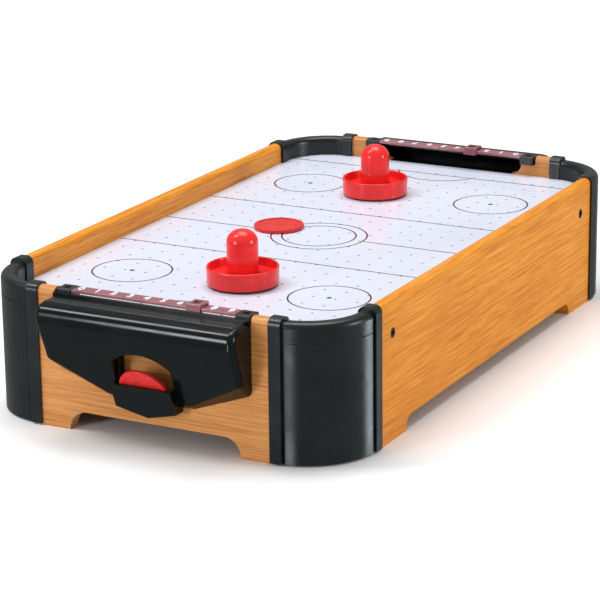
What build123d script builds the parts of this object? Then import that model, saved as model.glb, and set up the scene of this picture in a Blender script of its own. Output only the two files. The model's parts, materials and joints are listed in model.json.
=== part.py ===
"""Tabletop air hockey table: wooden frame, perforated playfield over an air box, battery blower,
moulded corner covers and goal boxes, score bars with sliding markers, two mallets and two pucks.

Frame: millimetres, +Z up, origin on the table top it stands on, below the centre of the playfield.
+Y runs along the table from the front goal to the rear goal; +X is to the right seen from the front.
"""
from build123d import *
import os
from math import cos, radians, sin

os.makedirs("parts", exist_ok=True)

# ---- driving dimensions ------------------------------------------------------------------------------
frame_half_width = 150.0        # outer faces of the side panels
frame_half_length = 258.6       # outer faces of the end panels
board = 10.5                    # thickness of the four frame panels
rail_top = 105.5                # top of the panels, which are the rebound rails
rail_round = 4.4                # rounding of the rails' two top edges
field_top = 88.7                # playing surface
field_thick = 3.0
fit = 0.3                       # general clearance between wooden pieces
screw_r = 1.7

side_arch_half = 156.5          # inner ends of the feet cut into the side panels
side_arch_height = 10.8
end_arch_half = 70.6
end_arch_height = 14.6

# corner covers
cover_outer_r = 51.1            # its arc starts flush with the panels' outer faces
cover_wall = 1.9
cover_low = 1.2                 # the covers stop just above the table top
cover_top = 104.3
cover_round = 4.4               # rounding of both top edges
cover_ceiling = 2.4             # material left above the hollow
inner_wall_r = 39.5
inner_wall_at = 1.5             # inner wall's distance inside the rails' inner faces
inner_wall = 1.4
cover_side_edge = 198.4         # |y| where a cover starts on a side panel
cover_end_edge = 94.2           # |x| where a cover starts on an end panel
collar_width = 9.3
collar_proud = 1.7
collar_in = 2.5                 # how far a collar reaches inside the rail's inner face
collar_top = 106.9
collar_round = 5.4
groove_wide = 2.2               # shadow groove beside each collar
groove_deep = 0.8
seam_height = 89.4
seam_wide = 0.7
seam_deep = 0.5

# goal notch in the end panels
notch_half = 57.6
notch_round = 9.9
seat_half = 80.4
seat_height = 98.5

# goal box
goal_half = 80.4
cheek_round = 4.4
shoulder_round = 8.0            # rounding between the roof's slope and the front
bead_r = 0.55                   # raised line along the edge between roof and front slope
tab_top = 103.3                 # tab of the roof that closes the gap below the score bar
sill_thick = 1.1                # black sill that covers the floor of the goal notch
goal_wall = 2.2
roof_height = 101.4
lip_depth = 16.5
nose_depth = 27.2
nose_height = 87.5
face_slope = 0.4226             # how far the front face falls back per millimetre of drop
belly_end = 48.0                # height of the underside at its ends, against the panel
belly_mid = 31.2                # and at its middle
belly_mid_half = 34.0
belly_rise = 0.73               # how steeply the underside climbs away from the panel
scoop_half = 24.7
scoop_wall = 1.9
scoop_rim = 47.1
scoop_depth = 18.0
scoop_side_low = 28.2
scoop_low = 21.7
hatch_half = 24.2               # half width of the puck return opening
hatch_spring = 62.5
hatch_crown = 72.6

# score bars
bar_half = 79.2
bar_back = 12.6
bar_front = 2.0
bar_thick = 2.1
post_inner = 67.0
post_back = 14.0
post_front = 1.5
tongue = 3.0                    # how far the bar's ends reach into the posts
tongue_thick = 1.2
post_bore_r = 2.6               # recess in the posts' tops for the screw heads
digit_pitch = 13.6
digit_count = 10
slider_half = 5.6
slider_low = 102.0
slider_high = 108.2
front_mark = 7                  # digit that each slider stands on
rear_mark = 6

# playing pieces
puck_r = 20.0
puck_thick = 3.0
air_gap = 0.3                   # film of air, and the mallets' clearance to the field
mallet_r = 27.2
mallet_foot_r = 26.8
mallet_rim = 13.6
mallet_height = 42.3
knob_r = 11.8
dome = 10.0
felt_thick = 1.0
felt_inset = 1.3                # felt's edge inside the mallet's foot
front_mallet_at = (10.3, -142.8)
rear_mallet_at = (-17.2, 136.2)
puck_at = (-40.0, 8.0)
return_lean = 27.0              # degrees that the returned puck leans out over the scoop

# air holes
hole_r = 0.75
hole_pitch_x = 17.8
hole_pitch_y = 18.4
hole_columns = 7
hole_rows = 12
field_corner_r = 40.0

# air box and blower
floor_top = 53.0
floor_thick = 3.0
box_rail = 10.0
blower_at = (0.0, 62.0)
volute_r = 39.0
volute_wall = 2.0
volute_height = 28.0
outlet_width = 34.0
impeller_r = 31.0
impeller_height = 17.0
blade_count = 16
motor_r = 12.0
motor_height = 27.0
shaft_r = 1.0
intake_r = 21.0

# battery box
battery_at = (0.0, -70.0)
cell_r = 7.15
cell_length = 50.0
cell_pitch = 15.2
cell_count = 4
box_wall = 1.8

# switch in the left side panel
switch_at = (60.0, 38.0)        # y and height
switch_wide = 19.0
switch_tall = 13.0

# ---- derived -----------------------------------------------------------------------------------------
rail_in_x = frame_half_width - board
rail_in_y = frame_half_length - board
field_low = field_top - field_thick
floor_low = floor_top - floor_thick
arc_x = frame_half_width - cover_outer_r
arc_y = frame_half_length - cover_outer_r
slider_marks = [digit_pitch * (k - (digit_count - 1) / 2) for k in range(digit_count)]


def save(builder, name):
    """Label a finished piece and write its STEP file."""
    builder.part.label = name
    export_step(builder.part, f"parts/{name}.step")


def end_face(end, depth=0.0):
    """Plane parallel to an end panel's outer face, depth mm outside it, seen from outside."""
    sign = -1 if end == "front" else 1
    return Plane(origin=(0, sign * (frame_half_length + depth), 0), x_dir=(-sign, 0, 0), z_dir=(0, sign, 0))


def end_section(end, offset=0.0):
    """Vertical plane across an end: local x is the distance outside the end panel, local y height."""
    sign = -1 if end == "front" else 1
    at_offset = (-sign * offset, sign * frame_half_length, 0)
    return Plane(origin=at_offset, x_dir=(0, sign, 0), z_dir=(sign, 0, 0))


def end_top(end, height):
    """Horizontal plane whose local x is the end's left to right from outside, local y inwards."""
    sign = -1 if end == "front" else 1
    return Plane(origin=(0, sign * frame_half_length, height), x_dir=(-sign, 0, 0), z_dir=(0, 0, 1))


def side_face(side, depth=0.0):
    """Plane parallel to a side panel's outer face, depth mm outside it, seen from outside."""
    sign = -1 if side == "left" else 1
    return Plane(origin=(sign * (frame_half_width + depth), 0, 0), x_dir=(0, sign, 0), z_dir=(sign, 0, 0))


# ---- side panels -------------------------------------------------------------------------------------
side_panel_half = 206.0
side_screw_y = 178.0
side_screw_z = 80.7
side_screw_head_r = 3.7
corner_screw_heights = (26.0, 74.0)
pilot_length = 14.0

for side in ("left", "right"):
    with BuildPart() as side_panel:
        with BuildSketch(side_face(side)):
            with Locations((0, rail_top / 2)):
                Rectangle(2 * side_panel_half, rail_top)
        extrude(amount=-board)
        fillet(side_panel.edges().filter_by(Axis.Y).group_by(Axis.Z)[-1], rail_round)
        with BuildSketch(side_face(side)):
            with BuildLine():
                Polyline((-side_arch_half, 0), (-side_arch_half, side_arch_height),
                         (side_arch_half, side_arch_height), (side_arch_half, 0), close=True)
            arch = make_face()
            fillet(arch.vertices().group_by(Axis.Y)[-1], side_arch_height - 0.4)
        extrude(amount=-board, mode=Mode.SUBTRACT)
        with BuildSketch(side_face(side)):
            with Locations((-side_screw_y, side_screw_z), (side_screw_y, side_screw_z)):
                Circle(screw_r + 0.1)
        extrude(amount=-board, mode=Mode.SUBTRACT)
        with BuildSketch(side_face(side)):
            with Locations((-side_screw_y, side_screw_z), (side_screw_y, side_screw_z)):
                Circle(side_screw_head_r + 0.1)
        extrude(amount=-2.6, mode=Mode.SUBTRACT)
        sx = -1 if side == "left" else 1
        pilots = [Location((sx * (frame_half_width - board / 2), sy * side_panel_half, height), (90, 0, 0))
                  for sy in (-1, 1) for height in corner_screw_heights]
        with Locations(*pilots):
            Cylinder(screw_r + 0.1, 2 * pilot_length, mode=Mode.SUBTRACT)
        if side == "left":
            with BuildSketch(side_face(side)):
                with Locations((-switch_at[0], switch_at[1])):
                    Rectangle(switch_wide + 0.4, switch_tall + 0.4)
            extrude(amount=-board, mode=Mode.SUBTRACT)
    save(side_panel, f"side_panel_{side}")

    with BuildPart() as panel_screws:
        with BuildSketch(side_face(side, -2.5)):
            with Locations((-side_screw_y, side_screw_z), (side_screw_y, side_screw_z)):
                Circle(side_screw_head_r)
        extrude(amount=2.7)
        outermost = 0 if side == "left" else -1
        fillet(panel_screws.faces().filter_by(Axis.X).group_by(Axis.X)[outermost].edges(), 0.5)
        with BuildSketch(side_face(side, -2.5)):
            with Locations((-side_screw_y, side_screw_z), (side_screw_y, side_screw_z)):
                Circle(screw_r)
        extrude(amount=-15)
        with BuildSketch(side_face(side, 0.2)):
            with Locations((-side_screw_y, side_screw_z), (side_screw_y, side_screw_z)):
                RegularPolygon(radius=1.9, side_count=6)
        extrude(amount=-1.6, mode=Mode.SUBTRACT)
    save(panel_screws, f"panel_screws_{side}")

# ---- end panels with their goal notches --------------------------------------------------------------
end_panel_half = 97.4
goal_screw_x = 71.0
goal_screw_z = 72.0
post_screw_x = 73.2
post_screw_y = 7.6              # inside the end panel's outer face

for end in ("front", "rear"):
    with BuildPart() as end_panel:
        with BuildSketch(end_face(end)):
            with Locations((0, rail_top / 2)):
                Rectangle(2 * end_panel_half, rail_top)
        extrude(amount=-board)
        fillet(end_panel.edges().filter_by(Axis.X).group_by(Axis.Z)[-1], rail_round)
        with BuildSketch(end_face(end)):
            with BuildLine():
                Polyline((-end_arch_half, 0), (-end_arch_half, end_arch_height),
                         (end_arch_half, end_arch_height), (end_arch_half, 0), close=True)
            arch = make_face()
            fillet(arch.vertices().group_by(Axis.Y)[-1], end_arch_height - 0.6)
        extrude(amount=-board, mode=Mode.SUBTRACT)
        with BuildSketch(end_face(end)):
            with BuildLine():
                wide = notch_half + notch_round
                Line((-notch_half, field_top - 0.2), (notch_half, field_top - 0.2))
                RadiusArc((notch_half, field_top - 0.2), (wide, seat_height), -notch_round)
                Polyline((wide, seat_height), (seat_half, seat_height), (seat_half, rail_top + 1),
                         (-seat_half, rail_top + 1), (-seat_half, seat_height), (-wide, seat_height))
                RadiusArc((-wide, seat_height), (-notch_half, field_top - 0.2), -notch_round)
            make_face()
            with Locations((0, field_top - 0.2 - sill_thick / 2)):
                Rectangle(2 * notch_half, sill_thick)
        extrude(amount=-board, mode=Mode.SUBTRACT)
        with BuildSketch(end_face(end)):
            with Locations((-goal_screw_x, goal_screw_z), (goal_screw_x, goal_screw_z)):
                Circle(screw_r + 0.1)
        extrude(amount=-board, mode=Mode.SUBTRACT)
        with BuildSketch(end_top(end, seat_height)):
            with Locations((-post_screw_x, post_screw_y), (post_screw_x, post_screw_y)):
                Circle(1.3)
        extrude(amount=-12.5, mode=Mode.SUBTRACT)
        sy = -1 if end == "front" else 1
        pilots = [Location((sx * end_panel_half, sy * (frame_half_length - board / 2), height), (0, 90, 0))
                  for sx in (-1, 1) for height in corner_screw_heights]
        with Locations(*pilots):
            Cylinder(screw_r + 0.1, 2 * pilot_length, mode=Mode.SUBTRACT)
    save(end_panel, f"end_panel_{end}")

# ---- corner covers -----------------------------------------------------------------------------------
in_x = rail_in_x - inner_wall_at
in_y = rail_in_y - inner_wall_at


def corner_strip(sx, sy, outer_inset, inner_inset, mode=Mode.ADD):
    """Plan of a corner cover: straight, quarter turn, straight. The insets thin it from each side."""
    def at(x, y):
        return (sx * x, sy * y)

    outer_r = cover_outer_r - outer_inset
    far_x = arc_x + outer_r
    far_y = arc_y + outer_r
    near_x = in_x + inner_inset
    near_y = in_y + inner_inset
    inner_r = inner_wall_r + inner_inset
    turn_x = near_x - inner_r
    turn_y = near_y - inner_r
    slant = cos(radians(45))
    with BuildLine() as outline:
        Line(at(far_x, cover_side_edge), at(far_x, arc_y))
        ThreePointArc(at(far_x, arc_y), at(arc_x + outer_r * slant, arc_y + outer_r * slant),
                      at(arc_x, far_y))
        Polyline(at(arc_x, far_y), at(cover_end_edge, far_y), at(cover_end_edge, near_y), at(turn_x, near_y))
        ThreePointArc(at(turn_x, near_y), at(turn_x + inner_r * slant, turn_y + inner_r * slant),
                      at(near_x, turn_y))
        Polyline(at(near_x, turn_y), at(near_x, cover_side_edge), at(far_x, cover_side_edge))
    make_face(outline.edges(), mode=mode)


web_thick = 2.0                 # webs that close the pockets for the panels' ends
web_y = side_panel_half + 0.4
web_x = end_panel_half + 0.4
web_span = board - 0.85         # from the inner wall to inside the outer wall
web_mid_x = frame_half_width - 1 - web_span / 2
web_mid_y = frame_half_length - 1 - web_span / 2
mid_panel_x = frame_half_width - board / 2
mid_panel_y = frame_half_length - board / 2
collar_span = board + collar_proud + collar_in
collar_mid_x = frame_half_width + collar_proud - collar_span / 2
collar_mid_y = frame_half_length + collar_proud - collar_span / 2
collar_y = cover_side_edge + collar_width / 2
collar_x = cover_end_edge + collar_width / 2
groove_y = cover_side_edge + collar_width + groove_wide / 2
groove_x = cover_end_edge + collar_width + groove_wide / 2
sleeve_wide = board + 0.2       # pocket that takes a panel's end, with the rail's rounded top
sleeve_top = rail_top + 0.1

for fore_aft, sy in (("front", -1), ("rear", 1)):
    for side, sx in (("left", -1), ("right", 1)):
        # both planes have their own y axis pointing up
        across_side = Plane(origin=(sx * mid_panel_x, 0, 0), x_dir=(-sy, 0, 0), z_dir=(0, sy, 0))
        across_end = Plane(origin=(0, sy * mid_panel_y, 0), x_dir=(0, sx, 0), z_dir=(sx, 0, 0))
        with BuildPart() as corner:
            with BuildSketch(Plane.XY.offset(cover_low)):
                corner_strip(sx, sy, 0, 0)
            extrude(amount=cover_top - cover_low)
            fillet(corner.faces().sort_by(Axis.Z)[-1].edges().filter_by(
                lambda e: abs(abs(e.center().X) - cover_end_edge) > 1
                and abs(abs(e.center().Y) - cover_side_edge) > 1), cover_round)
            # seam line around the outside
            with BuildSketch(Plane.XY.offset(seam_height)):
                corner_strip(sx, sy, -0.1, 0)
                corner_strip(sx, sy, seam_deep, 0, mode=Mode.SUBTRACT)
            extrude(amount=seam_wide, mode=Mode.SUBTRACT)
            # shadow grooves beside the collars
            with BuildSketch(Plane.XY):
                with Locations((sx * frame_half_width, sy * groove_y)):
                    Rectangle(2 * groove_deep, groove_wide)
                with Locations((sx * groove_x, sy * frame_half_length)):
                    Rectangle(groove_wide, 2 * groove_deep)
            extrude(amount=cover_top, mode=Mode.SUBTRACT)
            # raised collars at both ends, wrapping over the rails
            with BuildSketch(Plane.XY.offset(cover_low)):
                with Locations((sx * collar_mid_x, sy * collar_y)):
                    Rectangle(collar_span, collar_width)
                with Locations((sx * collar_x, sy * collar_mid_y)):
                    Rectangle(collar_width, collar_span)
            extrude(amount=collar_top - cover_low)
            crown = corner.faces().filter_by(Axis.Z).sort_by(Axis.Z)[-2:]
            fillet(crown.edges().filter_by(lambda e: e.length < collar_width + 0.1), collar_round)
            # hollow the moulding from below and cut the pockets for the panels' ends
            with BuildSketch(Plane.XY):
                corner_strip(sx, sy, cover_wall, inner_wall)
            extrude(amount=cover_top - cover_ceiling, mode=Mode.SUBTRACT)
            for across, reach in ((across_side, web_y), (across_end, web_x)):
                with BuildSketch(across):
                    with BuildLine():
                        Polyline((-sleeve_wide / 2, 0), (-sleeve_wide / 2, sleeve_top),
                                 (sleeve_wide / 2, sleeve_top), (sleeve_wide / 2, 0), close=True)
                    sleeve = make_face()
                    fillet(sleeve.vertices().group_by(Axis.Y)[-1], rail_round - 0.2)
                extrude(amount=reach, mode=Mode.SUBTRACT)
            # the inner wall stands on the playfield only
            below = inner_wall + 0.2
            with BuildSketch(Plane.XY):
                RectangleRounded(2 * (in_x + below), 2 * (in_y + below), inner_wall_r + below)
            extrude(amount=field_top + 0.1, mode=Mode.SUBTRACT)
            # webs across the hollow, with the screws' holes
            with BuildSketch(Plane.XY.offset(cover_low)):
                with Locations((sx * web_mid_x, sy * (web_y + web_thick / 2))):
                    Rectangle(web_span, web_thick)
                with Locations((sx * (web_x + web_thick / 2), sy * web_mid_y)):
                    Rectangle(web_thick, web_span)
            extrude(amount=cover_top - 2 - cover_low)
            for height in corner_screw_heights:
                with Locations(Location((sx * mid_panel_x, sy * (web_y + 1), height), (90, 0, 0))):
                    Cylinder(screw_r + 0.1, 6, mode=Mode.SUBTRACT)
                with Locations(Location((sx * (web_x + 1), sy * mid_panel_y, height), (0, 90, 0))):
                    Cylinder(screw_r + 0.1, 6, mode=Mode.SUBTRACT)
        save(corner, f"corner_cover_{fore_aft}_{side}")

with BuildPart() as corner_screws:
    for sy in (-1, 1):
        for sx in (-1, 1):
            for height in corner_screw_heights:
                along_y = Plane(origin=(sx * mid_panel_x, sy * (web_y + web_thick + 0.1), height),
                                z_dir=(0, -sy, 0))
                along_x = Plane(origin=(sx * (web_x + web_thick + 0.1), sy * mid_panel_y, height),
                                z_dir=(-sx, 0, 0))
                for seat in (along_y, along_x):
                    with BuildSketch(seat.offset(-1.6)):
                        Circle(3.0)
                    extrude(amount=1.6)
                    with BuildSketch(seat):
                        Circle(screw_r)
                    extrude(amount=13.0)
save(corner_screws, "corner_screws")

# ---- goal boxes --------------------------------------------------------------------------------------
face_lean = (1 + face_slope ** 2) ** 0.5
shoulder_height = roof_height - 0.234 * (nose_depth - lip_depth)


def nose_section(end, wall, back):
    """Side profile of a goal box, thinned by a wall, from its back edge outwards."""
    nose = nose_depth - wall
    slanted = nose_depth - wall * face_lean
    low = belly_mid - 3.5
    with BuildLine() as outline:
        Polyline((back, roof_height - wall), (lip_depth, roof_height - wall), (nose, shoulder_height - wall),
                 (nose, nose_height), (slanted - face_slope * (nose_height - low), low), (back, low),
                 close=True)
    section = make_face(outline.edges())
    shoulder = section.vertices().sort_by(Axis.Y)[-3:].sort_by(Axis.X)[-1]
    fillet(shoulder, shoulder_round - wall)


def belly_cut(wall):
    """Front silhouette of a goal box, thinned by a wall: straight ends and a V-shaped underside."""
    lift = 1.29 * wall
    half = goal_half - wall
    with BuildLine() as outline:
        Polyline((-half, 140), (-half, belly_end + lift), (-belly_mid_half, belly_mid + lift),
                 (belly_mid_half, belly_mid + lift), (half, belly_end + lift), (half, 140), close=True)
    make_face(outline.edges())


def plate_depth(height, wall):
    """Depth of the scoop's leaning front plate at a height."""
    return scoop_depth - 1.08 * wall - 0.41 * (scoop_rim - height)


duct_top = 66.0
ramp_end = 80.5
sill_half = notch_half - 0.2
sill_top = field_top - 0.25
apron_low = 74.5                # lower ends of the apron, which rest on the ramps
hatch_clear = 20.0              # half width that the apron leaves free behind the hatch

for end, sign in (("front", -1), ("rear", 1)):
    with BuildPart() as goal_core:
        with BuildSketch(end_section(end)):
            nose_section(end, goal_wall, -1)
        extrude(amount=goal_half, both=True)
        with BuildSketch(end_face(end)):
            belly_cut(goal_wall)
        extrude(amount=60, dir=(0, sign, belly_rise), both=True, mode=Mode.INTERSECT)

    with BuildPart() as goal_ribs:
        with BuildSketch(end_face(end, 0.4)):
            for hand in (-1, 1):
                with BuildLine():
                    Polyline((hand * (scoop_half - 1), duct_top - 2), (hand * goal_half, ramp_end),
                             (hand * goal_half, ramp_end + 2), (hand * (scoop_half - 1), duct_top),
                             close=True)
                make_face()
            with Locations((-goal_screw_x, goal_screw_z), (goal_screw_x, goal_screw_z)):
                Circle(3.8)
        extrude(amount=nose_depth)
        add(goal_core.part, mode=Mode.INTERSECT)

    with BuildPart() as chute:
        with BuildSketch(end_section(end)):
            with BuildLine():
                Polyline((-1, scoop_low - 3), (plate_depth(scoop_low - 3, scoop_wall), scoop_low - 3),
                         (plate_depth(hatch_spring - 1, scoop_wall), hatch_spring - 1),
                         (14.5, hatch_spring - 1), (14.5, duct_top + 0.5), (-1, duct_top + 0.5),
                         close=True)
            make_face()
        extrude(amount=scoop_half - scoop_wall, both=True)
        with BuildSketch(end_face(end)):
            with BuildLine():
                Polyline((-40, 100), (-40, scoop_side_low + 6), (-scoop_half, scoop_side_low + 1.4),
                         (0, scoop_low + 1.5), (scoop_half, scoop_side_low + 1.4),
                         (40, scoop_side_low + 6), (40, 100), close=True)
            make_face()
        extrude(amount=60, both=True, mode=Mode.INTERSECT)

    with BuildPart() as goal_box:
        with BuildSketch(end_section(end)):
            nose_section(end, 0, 0.1)
        extrude(amount=goal_half + 5, both=True)
        with BuildSketch(end_face(end)):
            belly_cut(0)
        extrude(amount=60, dir=(0, sign, belly_rise), both=True, mode=Mode.INTERSECT)
        for cheek in (goal_box.faces().sort_by(Axis.X)[0], goal_box.faces().sort_by(Axis.X)[-1]):
            fillet(cheek.edges().filter_by(
                lambda e: abs(abs(e.center().Y) - frame_half_length) > 0.5), cheek_round)
        with BuildSketch(end_section(end)):
            with Locations((lip_depth, roof_height - 0.15)):
                Circle(bead_r)
        extrude(amount=goal_half - cheek_round, both=True)
        add(goal_core.part, mode=Mode.SUBTRACT)
        add(goal_ribs.part)
        # roof tab that reaches up to the score bar
        tab_low = roof_height - goal_wall
        with BuildSketch(end_face(end, -0.8)):
            with Locations((0, (tab_low + tab_top) / 2)):
                Rectangle(2 * goal_half - 1, tab_top - tab_low)
        extrude(amount=3)
        # scoop with its leaning front plate and the puck chute behind it
        with BuildSketch(end_section(end)):
            with BuildLine():
                Polyline((0.1, scoop_low - 2), (plate_depth(scoop_low - 2, 0), scoop_low - 2),
                         (scoop_depth, scoop_rim), (10.6, scoop_rim + 2), (17.2, duct_top),
                         (0.1, duct_top), close=True)
            make_face()
        extrude(amount=scoop_half, both=True)
        with BuildSketch(end_face(end)):
            with BuildLine():
                Polyline((-200, 200), (-200, belly_mid - 5), (-scoop_half - 2, belly_mid - 5),
                         (-scoop_half - 0.01, scoop_side_low), (0, scoop_low),
                         (scoop_half + 0.01, scoop_side_low), (scoop_half + 2, belly_mid - 5),
                         (200, belly_mid - 5), (200, 200), close=True)
            make_face()
        extrude(amount=60, both=True, mode=Mode.INTERSECT)
        add(chute.part, mode=Mode.SUBTRACT)
        # arched puck return opening in the front face
        with BuildSketch(end_face(end, 9.0)):
            with BuildLine():
                Polyline((-hatch_half, hatch_spring), (-hatch_half, scoop_rim + 2.2),
                         (hatch_half, scoop_rim + 2.2), (hatch_half, hatch_spring))
                ThreePointArc((hatch_half, hatch_spring), (0, hatch_crown), (-hatch_half, hatch_spring))
            make_face()
        extrude(amount=25, mode=Mode.SUBTRACT)
        # sill over the floor of the notch, carried by an apron that stands on the ramps
        with BuildSketch(end_face(end, 0.1)):
            with BuildLine():
                Polyline((-sill_half, sill_top), (-sill_half, apron_low), (-scoop_half, duct_top - 0.8),
                         (-hatch_clear, duct_top + 2.5), (hatch_clear, duct_top + 2.5),
                         (scoop_half, duct_top - 0.8), (sill_half, apron_low), (sill_half, sill_top),
                         close=True)
            make_face()
        extrude(amount=1.5)
        with BuildSketch(end_face(end, 0.3)):
            with Locations((0, sill_top - (sill_thick - 0.1) / 2)):
                Rectangle(2 * sill_half, sill_thick - 0.1)
        extrude(amount=-board - 0.2)
        with BuildSketch(end_face(end)):
            with Locations((-goal_screw_x, goal_screw_z), (goal_screw_x, goal_screw_z)):
                Circle(screw_r + 0.05)
        extrude(amount=9, mode=Mode.SUBTRACT)
    save(goal_box, f"goal_box_{end}")

    with BuildPart() as goal_screws:
        with BuildSketch(end_face(end, -board - 0.1)):
            with Locations((-goal_screw_x, goal_screw_z), (goal_screw_x, goal_screw_z)):
                Circle(3.2)
        extrude(amount=-1.6)
        with BuildSketch(end_face(end, -board - 0.1)):
            with Locations((-goal_screw_x, goal_screw_z), (goal_screw_x, goal_screw_z)):
                Circle(screw_r)
        extrude(amount=board + 8)
    save(goal_screws, f"goal_screws_{end}")

    # ---- score bar, its posts, screws and sliding marker ------------------------------------------
    post_top = rail_top - 0.1
    post_mid = (post_inner + bar_half + 0.3) / 2
    post_depth = (post_front + post_back) / 2
    bar_mid = (bar_front + bar_back) / 2
    tongue_low = rail_top - 0.7 - tongue_thick
    with BuildPart() as posts:
        with BuildSketch(end_top(end, seat_height + 0.1)):
            with Locations((-post_mid, post_depth), (post_mid, post_depth)):
                RectangleRounded(bar_half + 0.3 - post_inner, post_back - post_front, 0.8)
        extrude(amount=post_top - seat_height - 0.1)
        fillet(posts.edges().group_by(Axis.Z)[-1], 0.6)
        with BuildSketch(end_top(end, tongue_low - 0.1)):
            with Locations((0, bar_mid)):
                Rectangle(2 * (post_inner + tongue + 0.2), bar_back - bar_front - 2.8)
        extrude(amount=tongue_thick + 0.2, mode=Mode.SUBTRACT)
        with BuildSketch(end_top(end, seat_height)):
            with Locations((-post_screw_x, post_screw_y), (post_screw_x, post_screw_y)):
                Circle(1.5)
        extrude(amount=10, mode=Mode.SUBTRACT)
        with BuildSketch(end_top(end, post_top)):
            with Locations((-post_screw_x, post_screw_y), (post_screw_x, post_screw_y)):
                Circle(post_bore_r)
        extrude(amount=-2.0, mode=Mode.SUBTRACT)
    save(posts, f"bar_posts_{end}")

    with BuildPart() as bar:
        with BuildSketch(end_top(end, rail_top - bar_thick)):
            with Locations((0, bar_mid)):
                Rectangle(2 * post_inner - 0.4, bar_back - bar_front)
        extrude(amount=bar_thick)
        fillet(bar.edges().group_by(Axis.Z)[-1], 0.3)
        with BuildSketch(end_top(end, tongue_low)):
            with Locations((0, bar_mid)):
                Rectangle(2 * (post_inner + tongue), bar_back - bar_front - 3)
        extrude(amount=tongue_thick)
    save(bar, f"score_bar_{end}")

    head_low = post_top - 1.9
    with BuildPart() as bar_screws:
        with BuildSketch(end_top(end, head_low)):
            with Locations((-post_screw_x, post_screw_y), (post_screw_x, post_screw_y)):
                Circle(post_bore_r - 0.2)
        extrude(amount=1.2)
        fillet(bar_screws.edges().group_by(Axis.Z)[-1], 0.5)
        with BuildSketch(end_top(end, head_low)):
            with Locations((-post_screw_x, post_screw_y), (post_screw_x, post_screw_y)):
                Circle(1.2)
        extrude(amount=-14)
        with BuildSketch(end_top(end, head_low + 1.2)):
            with Locations((-post_screw_x, post_screw_y), (post_screw_x, post_screw_y)):
                Rectangle(2.6, 0.6)
                Rectangle(0.6, 2.6)
        extrude(amount=-0.6, mode=Mode.SUBTRACT)
    save(bar_screws, f"bar_screws_{end}")

    mark = slider_marks[front_mark if end == "front" else rear_mark]
    with BuildPart() as slider:
        with BuildSketch(end_section(end, -sign * mark)):
            with Locations(((-0.9 - 13.8) / 2, (slider_low + slider_high) / 2)):
                Rectangle(12.9, slider_high - slider_low)
            with Locations((-(bar_front + bar_back) / 2, (slider_low + slider_high) / 2 - 0.3)):
                Rectangle(bar_back - bar_front + 0.6, 3.6, mode=Mode.SUBTRACT)
        extrude(amount=slider_half, both=True)
        fillet(slider.edges().group_by(Axis.Z)[-1], 0.5)
        with BuildSketch(Plane(origin=(mark, sign * (frame_half_length - 7.3), slider_high))):
            Rectangle(6.2, 7.4)
        extrude(amount=-2.4, mode=Mode.SUBTRACT)
    save(slider, f"score_slider_{end}")

# ---- playfield ---------------------------------------------------------------------------------------
field_half_x = rail_in_x - fit
field_half_y = rail_in_y - fit


def on_field(x, y, margin):
    """True where a point lies on the round-cornered playfield, at least a margin inside its edge."""
    over_x = max(abs(x) - (field_half_x - field_corner_r), 0)
    over_y = max(abs(y) - (field_half_y - field_corner_r), 0)
    return (over_x ** 2 + over_y ** 2) ** 0.5 < field_corner_r - margin


air_holes = [(hole_pitch_x * i, hole_pitch_y * j)
             for i in range(-hole_columns, hole_columns + 1)
             for j in range(-hole_rows, hole_rows + 1)
             if on_field(hole_pitch_x * i, hole_pitch_y * j, 9.0)]

with BuildPart() as playfield:
    with BuildSketch(Plane.XY.offset(field_low)):
        RectangleRounded(2 * field_half_x, 2 * field_half_y, field_corner_r)
        with Locations(*air_holes):
            Circle(hole_r, mode=Mode.SUBTRACT)
    extrude(amount=field_thick)
save(playfield, "playfield")

# ---- air box below the playfield ---------------------------------------------------------------------
outlet_x = blower_at[0] + volute_r - outlet_width / 2
outlet_y = blower_at[1] + 50.0
lead_hole = (40.0, 18.0)
ear_angles = (112, 180, 248, 305)
ear_r = volute_r + 3.5
ear_places = [(blower_at[0] + ear_r * cos(radians(a)), blower_at[1] + ear_r * sin(radians(a)))
              for a in ear_angles]

with BuildPart() as plenum_floor:
    with BuildSketch(Plane.XY.offset(floor_low)):
        RectangleRounded(2 * rail_in_x - 2.2, 2 * rail_in_y - 2.2, field_corner_r)
        with Locations(blower_at):
            Circle(motor_r + 1.5, mode=Mode.SUBTRACT)
        with Locations((outlet_x, outlet_y)):
            Rectangle(outlet_width - 8, 18, mode=Mode.SUBTRACT)
        with Locations(lead_hole):
            Circle(3.0, mode=Mode.SUBTRACT)
        with Locations(*ear_places):
            Circle(screw_r + 0.1, mode=Mode.SUBTRACT)
    extrude(amount=floor_thick)
save(plenum_floor, "plenum_floor")

box_rail_height = field_low - floor_top - 0.1
for side, sx in (("left", -1), ("right", 1)):
    with BuildPart() as box_rail_side:
        with BuildSketch(Plane.XY.offset(floor_top + 0.05)):
            with Locations((sx * (rail_in_x - 0.1 - box_rail / 2), 0)):
                Rectangle(box_rail, 2 * side_panel_half - 2)
        extrude(amount=box_rail_height)
        with BuildSketch(side_face(side)):
            with Locations((-side_screw_y, side_screw_z), (side_screw_y, side_screw_z)):
                Circle(screw_r + 0.1)
        extrude(amount=-board - 8, mode=Mode.SUBTRACT)
    save(box_rail_side, f"box_rail_{side}")

for end, sy in (("front", -1), ("rear", 1)):
    with BuildPart() as box_rail_end:
        with BuildSketch(Plane.XY.offset(floor_top + 0.05)):
            with Locations((0, sy * (rail_in_y - 0.1 - box_rail / 2))):
                Rectangle(2 * end_panel_half - 2, box_rail)
        extrude(amount=box_rail_height)
        with BuildSketch(end_face(end, -board)):
            with Locations((-goal_screw_x, goal_screw_z), (goal_screw_x, goal_screw_z)):
                Circle(4.5)
        extrude(amount=-3, mode=Mode.SUBTRACT)
    save(box_rail_end, f"box_rail_{end}")

# ---- blower ------------------------------------------------------------------------------------------
housing_top = floor_low - 0.1
housing_low = housing_top - volute_height
outlet_length = 62.0


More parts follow.
